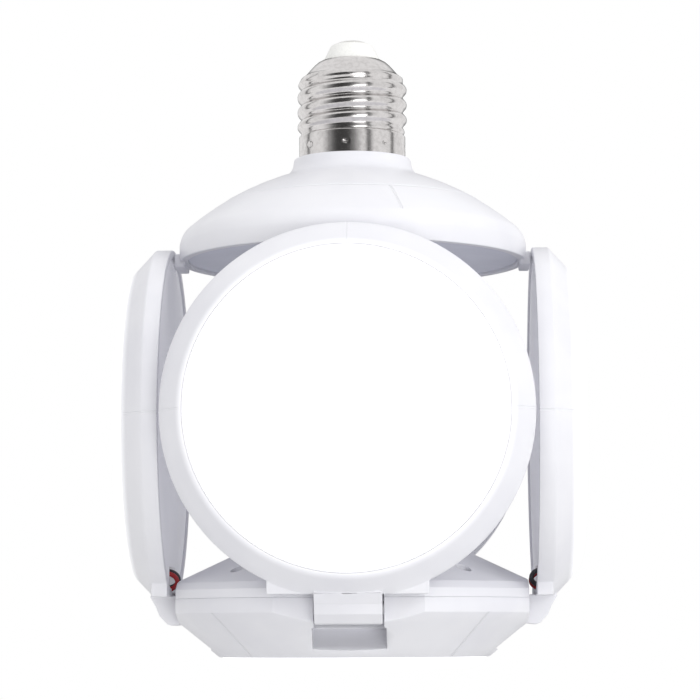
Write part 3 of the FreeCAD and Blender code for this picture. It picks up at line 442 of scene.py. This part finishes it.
# Centre post: a plain white moulded tube from the plate down to the socket in
# the bottom disc, with its screws up through the flange.
tube, tube_height = moulded("post_moulding", (0.72, 0.72, 0.76), (0.66, 0.66, 0.71))
tube.set(normal=tube_height.bumps(1.0))
dress("centre_post", tube)

steel = grained("screw_steel", "screw_steel", (3000, 3), (0.62, 0.62, 0.63),
                (0.5, 0.5, 0.52), 0.02, 0.3, 0.2, metallic=1.0)
for node in ("post_screws", "base_screws"):
    dress(node, steel)

# Side disc mouldings: a bezel with the hinge tab, and a back cover snapped in.
# Each bezel has witness notches at its top and sides, from the mould's quarters.


def disc_place(finish, side):
    """Where a point is on a side disc: across, up and out, from its centre."""
    way_x, way_y = HINGE_SIDES[side]
    place_x, place_y, place_z = finish.place.parts(3)
    out = place_x * way_x + place_y * way_y - DISC_BACK
    across = place_y * way_x - place_x * way_y
    return across, place_z - DISC_CENTRE, out


LENS_GLOW = (1.0, 0.995, 0.985)
NOTCH_INNER = 36.8 * MM
NOTCH_OUTER = 37.2 * MM
NOTCH_WIDTH = 0.3
NOTCH_DEPTH = 0.07 * MM
NOTCH_START = 1 * MM
SEAM_OUT = 3.7 * MM
SEAM_WIDTH = 0.14
SEAM_DEPTH = 0.02 * MM
# Where each bezel glows with painted light, as if spilled onto it from its lens: between
# these radii and heights.
SPILL_INNER = 35.9 * MM
SPILL_OUTER = 38.0 * MM
SPILL_LOW = 4 * MM
SPILL_HIGH = 7 * MM
PAINTED_SPILL_GLOW = (0.3, 0.3, 0.3)
COVER_PAINTED_GLOW = 0.13
for side in HINGE_SIDES:
    bezel, height = moulded(f"{side}_bezel_moulding", WHITE, WHITE_SHADE)
    across, up, out = disc_place(bezel, side)
    reach = reach_of(across, up)
    at_top = line(across, NOTCH_WIDTH) * up.step(0, NOTCH_START)
    at_sides = line(up, NOTCH_WIDTH)
    notches = (at_top + at_sides) * reach.step(NOTCH_INNER, NOTCH_OUTER)
    seam = line(out - SEAM_OUT, SEAM_WIDTH)
    # Painted light: the bezel glows faintly next to the lens, standing in for light
    # spilling onto it from the lens.
    painted_spill = (1 - reach.step(SPILL_INNER, SPILL_OUTER)) * out.step(SPILL_LOW, SPILL_HIGH)
    bezel.set(normal=(height - NOTCH_DEPTH * notches - SEAM_DEPTH * seam).bumps(1.0),
              emission_color=painted_spill.between((0, 0, 0), PAINTED_SPILL_GLOW), emission_strength=1.0)
    dress(f"{side}_bezel", bezel)
    soften(f"{side}_bezel", 0.22)

    cover, height = moulded(f"{side}_cover_moulding", WHITE, WHITE_SHADE)
    # Each back cover glows faintly: painted light, standing in for light from the lenses
    # that falls on it.
    cover.set(normal=height.bumps(1.0), emission_color=(1, 1, 1.04, 1),
              emission_strength=COVER_PAINTED_GLOW)
    dress(f"{side}_back_cover", cover)

# Lenses: milky opal polycarbonate cups over the boards, glowing evenly, with a
# soft rounded edge. Seen unlit they are a smooth slightly waxy white.
LENS_STRENGTH = 1.05
LENS_FADE = 6.5 * MM
LENS_EDGE = 36 * MM
LENS_RIM_GLOW = 0.3
LENS_AROUND = 160
BASE_LENS_EDGE = 31.2 * MM
BASE_LENS_RIM_GLOW = 0.8


def opal(name, side, edge, rim):
    """Opal plastic that glows, less towards its edge: a side disc's, or the
    bottom disc's when side is None."""
    finish = Finish(name, "milky_lens", roughness=0.28, ior=1.49)
    fine = finish.place.grain(4200, 2)
    first, second = disc_place(finish, side)[:2] if side else finish.place.parts(2)
    fade = reach_of(first, second).step(edge - LENS_FADE, edge)
    finish.set(base_color=fine.between((0.93, 0.93, 0.93), (0.9, 0.9, 0.905)),
               emission_color=fade.between(LENS_GLOW, (rim, rim, 1.03 * rim)),
               emission_strength=LENS_STRENGTH, normal=fine.bumps(0.004 * MM))
    return finish


SIDE_LENS = [(0, 9.55), (33.4, 9.55), (34.4, 5.0), (36.9, 5.0, 0.1), (36.9, 6.4, 0.1),
             (35.85, 6.4, 0.1), (35.85, 8.7, 0.8), (34.2, 10.1, 1.4), (31.6, 11.05, 1.2),
             (24, 11.3), (12, 11.52), (0, 11.6)]
for side, (way_x, way_y) in HINGE_SIDES.items():
    cup = turned(SIDE_LENS, LENS_AROUND)
    facing = Matrix(((-way_y, 0, way_x), (way_x, 0, way_y), (0, 1, 0)))
    bmesh.ops.rotate(cup, cent=(0, 0, 0), matrix=facing, verts=cup.verts)
    bmesh.ops.translate(cup, vec=(DISC_BACK * way_x, DISC_BACK * way_y, DISC_CENTRE),
                        verts=cup.verts)
    milky = opal(f"{side}_opal", side, LENS_EDGE, LENS_RIM_GLOW)
    new_piece(f"{side}_lens_cup", cup, milky, f"{side}_disc", f"{side}_lens")
PARTING = -104.7
new_piece("base_lens_cup", turned([
    (0, PARTING - 14.5), (27.0, PARTING - 14.5), (29.8, PARTING - 12.8),
    (29.8, PARTING - 11.3), (31.2, PARTING - 11.3, 0.1), (31.2, PARTING - 13.5, 0.8),
    (29.6, PARTING - 15.0, 1.2), (27.2, PARTING - 15.9, 1.0), (14, PARTING - 16.3),
    (0, PARTING - 16.4)], LENS_AROUND),
    opal("base_opal", None, BASE_LENS_EDGE, BASE_LENS_RIM_GLOW), "lamp", "base_lens")

# Bottom disc: front moulding with the hinge ears and pockets, and a back cover
# that rises as a low cone to the post, screwed down at its four corners.
CORNER_WIDTH = 0.5
CORNER_DEPTH = 0.16 * MM
CONE_TOP = (PARTING - 3.6) * MM
CONE_FULL = (PARTING - 3.3) * MM
bezel, height = moulded("base_bezel_moulding", WHITE, WHITE_SHADE)
place_x, place_y, place_z = bezel.place.parts(3)
corners = line(place_x - place_y, CORNER_WIDTH) + line(place_x + place_y, CORNER_WIDTH)
on_cone = 1 - place_z.step(CONE_TOP, CONE_FULL)
bezel.set(normal=(height - CORNER_DEPTH * (corners * on_cone)).bumps(1.0))
dress("base_bezel", bezel)
soften("base_bezel", 0.2)
cover, height = moulded("base_cover_moulding", WHITE, WHITE_SHADE)
cover.set(normal=height.bumps(1.0))
dress("base_cover", cover)

# Hinge pins of drawn steel through the tabs and ears.
pin = grained("pin_steel", "pin_steel", (4000, 2), (0.66, 0.66, 0.67),
              (0.55, 0.55, 0.57), 0.01, 0.22, 0.15, metallic=1.0)

# Boards of aluminium under a white solder mask, yellow phosphor LED chips, and
# leads in red insulation.
mask = grained("board_mask", "board_aluminium", (900, 3), (0.86, 0.87, 0.86),
               (0.8, 0.81, 0.8), 0.02, 0.4)
phosphor = grained("chip_phosphor", "chip_yellow", (2600, 3), (0.85, 0.72, 0.2),
                   (0.8, 0.62, 0.12), 0.02, 0.45)
red = grained("red_insulation", "lead_insulation", (2200, 3), (0.55, 0.03, 0.03),
              (0.42, 0.02, 0.03), 0.03, 0.42)
for side in HINGE_SIDES:
    dress(f"{side}_hinge_pin", pin)
    dress(f"{side}_led_board", mask)
    dress(f"{side}_leds", phosphor)
    dress(f"{side}_leads", red)
dress("base_led_board", mask)
dress("base_leds", phosphor)
dress("supply_leads", red)
dress("cap_leads", red)

# Where the leads cross a back cover's window they bow out of it a little, one
# red and one black, to leave slack for the hinge.
lead_black = grained("lead_insulation_black", "lead_insulation", (1900, 3),
                     (0.04, 0.04, 0.045), (0.07, 0.07, 0.075), 0.03, 0.45)
LOOP_OUT = 44.6
LOOP_HEIGHT = -100.3
LOOP_BOW = 2.9
LOOP_HALF = 2.0
LEAD_RADIUS = 0.55
LOOP_STEPS = 16
LEAD_SIDES = 12
LEAD_TURNS = [2 * math.pi * number / LEAD_SIDES for number in range(LEAD_SIDES)]
LOOPS = (("red", 1.6, -0.2, red), ("black", -1.6, 0.4, lead_black))
for side, (way_x, way_y) in HINGE_SIDES.items():
    for colour, across, lift, finish in LOOPS:
        loop = bmesh.new()
        rings = []
        for step in range(LOOP_STEPS + 1):
            angle = math.pi * (0.5 - step / LOOP_STEPS)
            bow, rise = math.cos(angle), math.sin(angle)
            centre = Vector((LOOP_OUT - LOOP_BOW * bow, across,
                             LOOP_HEIGHT + lift + LOOP_HALF * rise))
            normal = Vector((-LOOP_HALF * bow, 0, LOOP_BOW * rise)).normalized()
            ways = [math.cos(turn) * normal + math.sin(turn) * Vector((0, 1, 0))
                    for turn in LEAD_TURNS]
            rings.append([loop.verts.new((centre + LEAD_RADIUS * way) * MM)
                          for way in ways])
        for first, second in zip(rings, rings[1:]):
            for number in range(LEAD_SIDES):
                after = (number + 1) % LEAD_SIDES
                loop.faces.new((first[number], first[after],
                                second[after], second[number]))
        loop.faces.new(rings[0])
        loop.faces.new(reversed(rings[-1]))
        turn = Matrix.Rotation(math.atan2(way_y, way_x), 3, "Z")
        bmesh.ops.rotate(loop, cent=(0, 0, 0), matrix=turn, verts=loop.verts)
        new_piece(f"{side}_lead_loop_{colour}", loop, finish, f"{side}_disc")

# Driver inside the dome: a green-brown laminate with its parts.
laminate = grained("driver_laminate", "driver_laminate", (1500, 3), (0.42, 0.36, 0.16),
                   (0.34, 0.3, 0.12), 0.03, 0.5)
dress("driver_board", laminate)
black = grained("driver_black", "component_black", (1900, 3), (0.03, 0.03, 0.035),
                (0.06, 0.06, 0.065), 0.03, 0.5)
for node in ("driver_transformer", "driver_rectifier", "driver_choke"):
    dress(node, black)
sleeve = grained("capacitor_sleeve", "capacitor_sleeve", (700, 2), (0.04, 0.05, 0.12),
                 (0.06, 0.07, 0.16), 0.02, 0.3)
dress("driver_capacitor", sleeve)

# Studio: a pale floor well below the hanging lamp, which glows a little to the
# camera so that it ends as white as the room, a white world, and soft panels
# of light.
FLOOR_HEIGHT = -0.75
FLOOR_HALF = 14
FLOOR_SHADE = 0.62
FLOOR_GLOW = 0.4
white_floor = bpy.data.materials.new("floor_white")
white_floor.use_nodes = True
tree = white_floor.node_tree
shader = tree.nodes["Principled BSDF"]
shader.inputs["Base Color"].default_value = (*[FLOOR_SHADE] * 3, 1)
shader.inputs["Roughness"].default_value = 1.0
shader.inputs["Emission Color"].default_value = (1, 1, 1, 1)


def background_rays(tree):
    """1 where the camera, a reflection or a view through glass looks."""
    rays = tree.nodes.new("ShaderNodeLightPath")
    seen, shine, through = (Signal(tree, rays.outputs[name]) for name in
                            ("Is Camera Ray", "Is Glossy Ray", "Is Transmission Ray"))
    return seen.math("MAXIMUM", seen.math("MAXIMUM", seen, shine), through)


def flat(name, half, material):
    """A flat square for the studio, half its side given."""
    grid = bmesh.new()
    bmesh.ops.create_grid(grid, x_segments=2, y_segments=2, size=half)
    mesh = bpy.data.meshes.new(name)
    grid.to_mesh(mesh)
    grid.free()
    mesh.materials.append(material)
    thing = bpy.data.objects.new(name, mesh)
    bpy.context.scene.collection.objects.link(thing)
    return thing


floor_glow = FLOOR_GLOW * background_rays(tree)
tree.links.new(floor_glow.socket, shader.inputs["Emission Strength"])
floor = flat("floor", FLOOR_HALF, white_floor)
floor.location = (0, 0, FLOOR_HEIGHT)

world = bpy.data.worlds.new("studio")
bpy.context.scene.world = world
world.use_nodes = True
tree = world.node_tree
background = tree.nodes["Background"]
background.inputs["Color"].default_value = (1, 1, 1, 1)
# The room's light on surfaces; the background that is seen stays at 1.
AMBIENT = 1.0
strength = AMBIENT + (1 - AMBIENT) * background_rays(tree)
tree.links.new(strength.socket, background.inputs["Strength"])


def panel(name, place, aim, size, power):
    """A soft rectangular lamp aimed at a point."""
    light = bpy.data.lights.new(name, "AREA")
    light.shape = "RECTANGLE"
    light.size, light.size_y = size
    light.energy = power
    lamp = bpy.data.objects.new(name, light)
    lamp.location = place
    direction = Vector(aim) - Vector(place)
    lamp.rotation_mode = "QUATERNION"
    lamp.rotation_quaternion = direction.to_track_quat("-Z", "Y")
    bpy.context.scene.collection.objects.link(lamp)
    return lamp


LAMP_MIDDLE = (0, 0, -0.06)
key = panel("key", (0.75, -0.6, 0.45), LAMP_MIDDLE, (0.6, 0.5), 2.6)
key.visible_glossy = False
panel("fill", (0.35, -1.0, -0.3), LAMP_MIDDLE, (0.5, 0.5), 2.7)

# Cards that only reflections see give the metal its dark bands: nearly black in
# the middle, fading to the white of the room at their edges. Each is given by
# its angle round the lamp in degrees and its half width.
CARD_HALF = 0.5
CARD_PLACE = (0, -1.2, 0.3)
CARD_TALL = 2
CARD_DARK = 0.06
CARD_FADE = 0.15 * CARD_HALF
CARD_SIDES = ((-20, 1.35), (38, 0.2), (98, 0.16), (180, 0.6), (-108, 0.16))
dark = bpy.data.materials.new("card_black")
dark.use_nodes = True
tree = dark.node_tree
tree.nodes.remove(tree.nodes["Principled BSDF"])
card_place = Signal(tree, tree.nodes.new("ShaderNodeTexCoord").outputs["Object"])
fade = card_place.part(0).size().step(CARD_FADE, CARD_HALF)
glow = tree.nodes.new("ShaderNodeEmission")
tree.links.new((CARD_DARK + (1 - CARD_DARK) * fade).socket, glow.inputs["Strength"])
tree.links.new(glow.outputs[0], tree.nodes["Material Output"].inputs["Surface"])
for number, (turn, width) in enumerate(CARD_SIDES):
    card = flat(f"card_{number}", CARD_HALF, dark)
    card.matrix_world = (Matrix.Rotation(math.radians(turn), 4, "Z")
                         @ Matrix.Translation(CARD_PLACE)
                         @ Matrix.Rotation(math.pi / 2, 4, "X")
                         @ Matrix.Diagonal((width / CARD_HALF, CARD_TALL, 1, 1)))
    card.visible_camera = False
    card.visible_diffuse = False
    card.visible_shadow = False
    card.visible_transmission = False

# Camera: where the photograph was taken from, level with the bottom disc and
# tilted up at the lamp, which is turned very slightly.
FOCAL_PIXELS = 2722.6
DISTANCE = 0.64477
EYE_LEVEL = -0.11252
SIDE_STEP = -0.00076
YAW = -0.0320
PITCH = 0.10332
ROLL = -0.0042
FRAME_PIXELS = 700
SENSOR_WIDTH = 36.0
camera_data = bpy.data.cameras.new("camera")
camera_data.sensor_fit = "HORIZONTAL"
camera_data.sensor_width = SENSOR_WIDTH
camera_data.lens = FOCAL_PIXELS / FRAME_PIXELS * SENSOR_WIDTH
camera_data.clip_start = 0.01
camera_data.clip_end = 100.0
camera = bpy.data.objects.new("camera", camera_data)
turn = Matrix.Rotation(-YAW, 4, "Z")
camera.matrix_world = (turn @ Matrix.Translation((SIDE_STEP, -DISTANCE, EYE_LEVEL))
                       @ Matrix.Rotation(math.pi / 2 + PITCH, 4, "X")
                       @ Matrix.Rotation(ROLL, 4, "Z"))
bpy.context.scene.collection.objects.link(camera)
bpy.context.scene.camera = camera
bpy.context.scene.view_settings.view_transform = "Standard"
